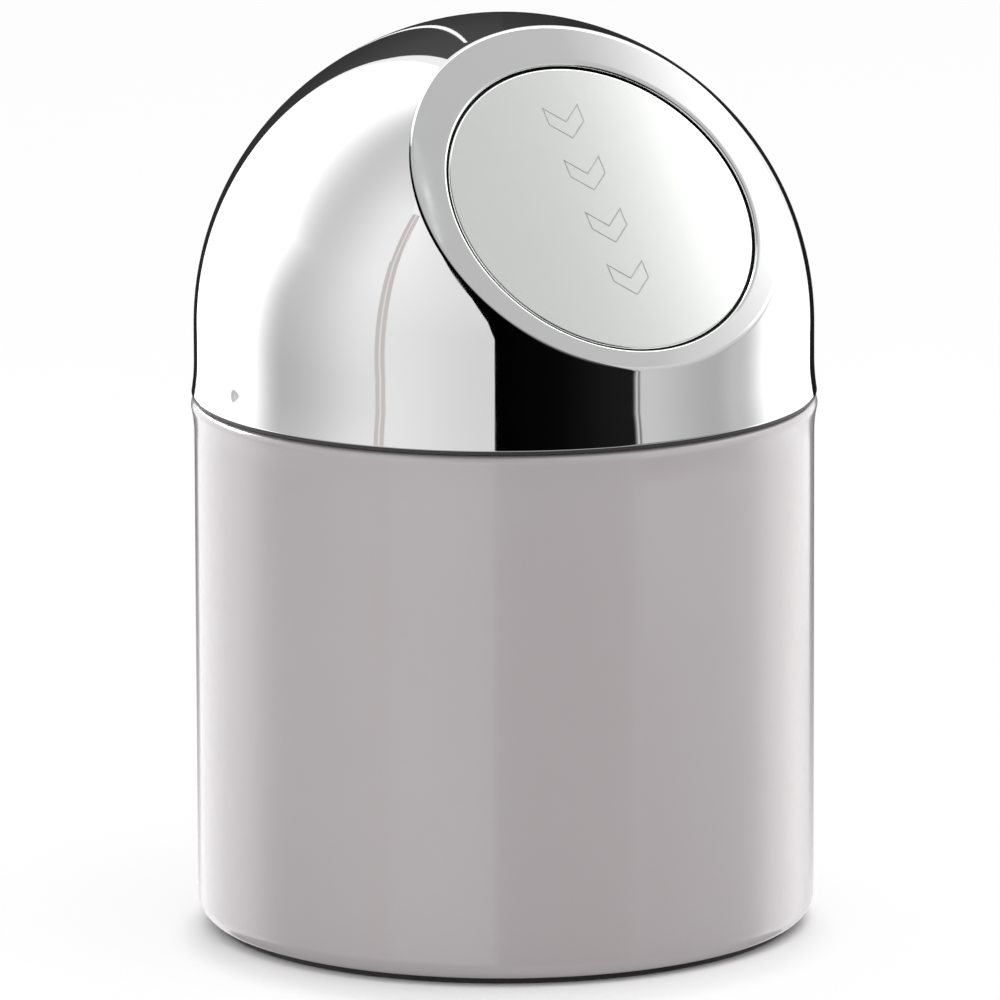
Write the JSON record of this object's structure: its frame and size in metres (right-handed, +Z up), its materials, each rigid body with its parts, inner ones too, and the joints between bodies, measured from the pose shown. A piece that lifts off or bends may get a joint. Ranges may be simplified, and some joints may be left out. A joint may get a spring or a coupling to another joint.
{
  "type": "push top countertop bin",
  "caption": "Small round countertop bin with a lift-off polished dome lid and a sprung round push flap in a slanted facet.",
  "frame": {"origin": "centre of the base on the surface that the bin stands on", "axes": "+Z up along the bin's axis, the flap faces -Y, +X to the right of someone who faces the flap"},
  "size_m": [0.1192, 0.1192, 0.1748],
  "materials": {
    "lacquered_steel": "gloss lacquer, pale taupe grey",
    "polished_steel": "mirror polished stainless steel",
    "satin_steel": "satin stainless steel",
    "plated_steel": "zinc plated",
    "spring_steel": "drawn spring wire",
    "dark_plastic": "moulded, fine texture",
    "pale_plastic": "moulded, fine texture",
    "foot_rubber": "soft black rubber"
  },
  "bodies": {
    "bin": {"bin_body": "lacquered_steel", "foot_ring": "foot_rubber"},
    "lid": {"dome": "polished_steel", "collar": "dark_plastic", "flap_frame": "pale_plastic", "frame_studs": "plated_steel", "push_fixings": "plated_steel", "hinge_pin": "plated_steel", "pin_clip": "plated_steel", "return_spring": "spring_steel", "closing_buffers": "foot_rubber"},
    "flap": {"flap_face": "satin_steel", "flap_backing": "dark_plastic"}
  },
  "joints": [
    {"name": "lid_lift", "type": "slide", "parent": "bin", "child": "lid", "axis": [0, 0, 1], "range_m": [0, 0.1]},
    {"name": "flap_hinge", "type": "hinge", "parent": "lid", "child": "flap", "pos_m": [0, -0.00711, 0.16746], "axis": [1, 0, 0], "range_deg": [0, 65], "stiffness_Nm_per_rad": 0.012, "springref_deg": -91.67, "deforming": ["return_spring"]}
  ]
}
